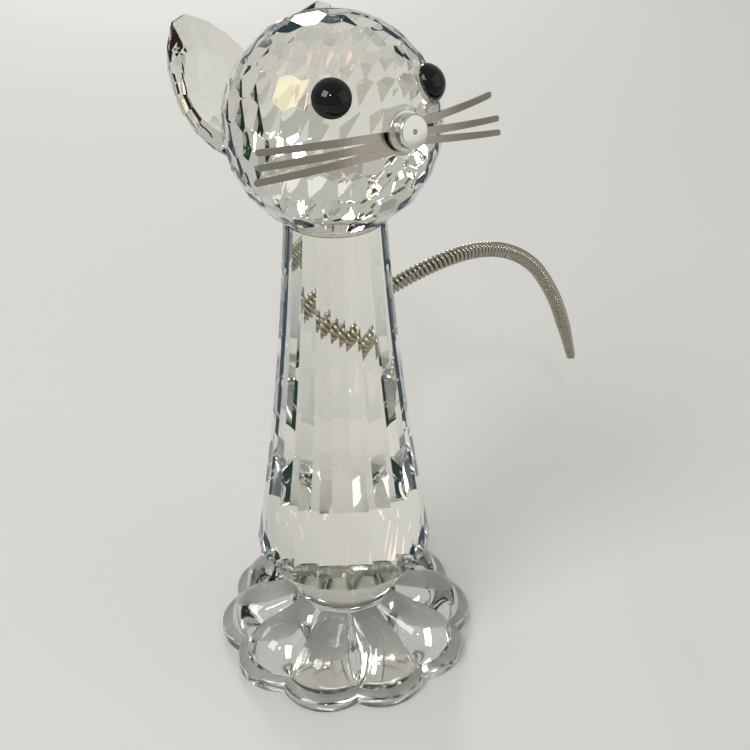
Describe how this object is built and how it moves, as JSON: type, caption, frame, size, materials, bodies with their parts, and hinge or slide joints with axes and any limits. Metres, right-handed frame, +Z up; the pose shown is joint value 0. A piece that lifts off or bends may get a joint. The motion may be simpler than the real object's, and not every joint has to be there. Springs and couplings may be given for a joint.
{
  "type": "crystal cat figurine",
  "caption": "Cut crystal cat figurine: scalloped foot, faceted column body, cut ball head with leaf ears, black eyes, metal whiskers and nose, and a springy coiled wire tail.",
  "frame": {"origin": "centre of the flat underside of the scalloped foot, where it rests", "axes": "+Z up along the body; -Y is the way the cat faces; +X is the cat's left, the side its tail curls to"},
  "size_m": [0.0607, 0.0293, 0.0717],
  "materials": {
    "crystal": "cut and polished lead crystal, clear",
    "pressed_crystal": "pressed and fire-polished clear crystal",
    "jet": "glossy opaque black glass",
    "nickel": "polished to satin plated sheet and turned metal",
    "spring_wire": "bright close-wound spring wire"
  },
  "bodies": {
    "figurine": {"scalloped_foot": "pressed_crystal", "faceted_body": "crystal", "cut_ball_head": "crystal", "ear_left": "crystal", "ear_right": "crystal", "eye_left": "jet", "eye_right": "jet", "nose_stud": "nickel", "whisker_spray": "nickel", "tail_root": "spring_wire"},
    "tail_length_1": {"tail_length_1": "spring_wire"},
    "tail_length_2": {"tail_length_2": "spring_wire"},
    "tail_length_3": {"tail_length_3": "spring_wire"},
    "tail_length_4": {"tail_length_4": "spring_wire"},
    "tail_length_5": {"tail_length_5": "spring_wire"},
    "tail_length_6": {"tail_length_6": "spring_wire"},
    "tail_length_7": {"tail_length_7": "spring_wire"},
    "tail_length_8": {"tail_length_8": "spring_wire"},
    "tail_tip": {"tail_tip": "spring_wire"}
  },
  "joints": [
    {"name": "tail_lift_1", "type": "hinge", "parent": "figurine", "child": "tail_length_1", "pos_m": [0.00063, 0.01086, 0.02451], "axis": [0.7972, -0.6036, 0], "range_deg": [-5, 8], "stiffness_Nm_per_rad": 0.13},
    {"name": "tail_swing_1", "type": "hinge", "parent": "tail_length_1", "child": "tail_length_2", "pos_m": [0.00357, 0.01101, 0.03109], "axis": [-0.751, 0.2459, 0.6128], "range_deg": [-8, 8], "stiffness_Nm_per_rad": 0.11},
    {"name": "tail_lift_2", "type": "hinge", "parent": "tail_length_2", "child": "tail_length_3", "pos_m": [0.00846, 0.00876, 0.03599], "axis": [-0.3578, -0.9338, 0], "range_deg": [-5, 8]},
    {"name": "tail_swing_2", "type": "hinge", "parent": "tail_length_3", "child": "tail_length_4", "pos_m": [0.01484, 0.007, 0.03904], "axis": [-0.2995, 0.0635, 0.952], "range_deg": [-8, 8]},
    {"name": "tail_lift_3", "type": "hinge", "parent": "tail_length_4", "child": "tail_length_5", "pos_m": [0.02198, 0.00645, 0.03992], "axis": [0.0801, -0.9968, 0], "range_deg": [-5, 8]},
    {"name": "tail_swing_3", "type": "hinge", "parent": "tail_length_5", "child": "tail_length_6", "pos_m": [0.02889, 0.00726, 0.03779], "axis": [0.4507, 0.0654, 0.8903], "range_deg": [-8, 8]},
    {"name": "tail_lift_4", "type": "hinge", "parent": "tail_length_6", "child": "tail_length_7", "pos_m": [0.03469, 0.00814, 0.03348], "axis": [0.1406, -0.9901, 0], "range_deg": [-5, 8]},
    {"name": "tail_swing_4", "type": "hinge", "parent": "tail_length_7", "child": "tail_length_8", "pos_m": [0.03905, 0.0089, 0.02767], "axis": [0.8139, 0.1923, 0.5482], "range_deg": [-8, 8]},
    {"name": "tail_lift_5", "type": "hinge", "parent": "tail_length_8", "child": "tail_tip", "pos_m": [0.04259, 0.00992, 0.02136], "axis": [0.3169, -0.9485, 0], "range_deg": [-5, 8]}
  ],
  "couplings": [
    {"joint": "tail_lift_2", "follows": "tail_lift_1", "ratio": 1},
    {"joint": "tail_swing_2", "follows": "tail_swing_1", "ratio": 1},
    {"joint": "tail_lift_3", "follows": "tail_lift_1", "ratio": 1},
    {"joint": "tail_swing_3", "follows": "tail_swing_1", "ratio": 1},
    {"joint": "tail_lift_4", "follows": "tail_lift_1", "ratio": 1},
    {"joint": "tail_swing_4", "follows": "tail_swing_1", "ratio": 1},
    {"joint": "tail_lift_5", "follows": "tail_lift_1", "ratio": 1}
  ]
}
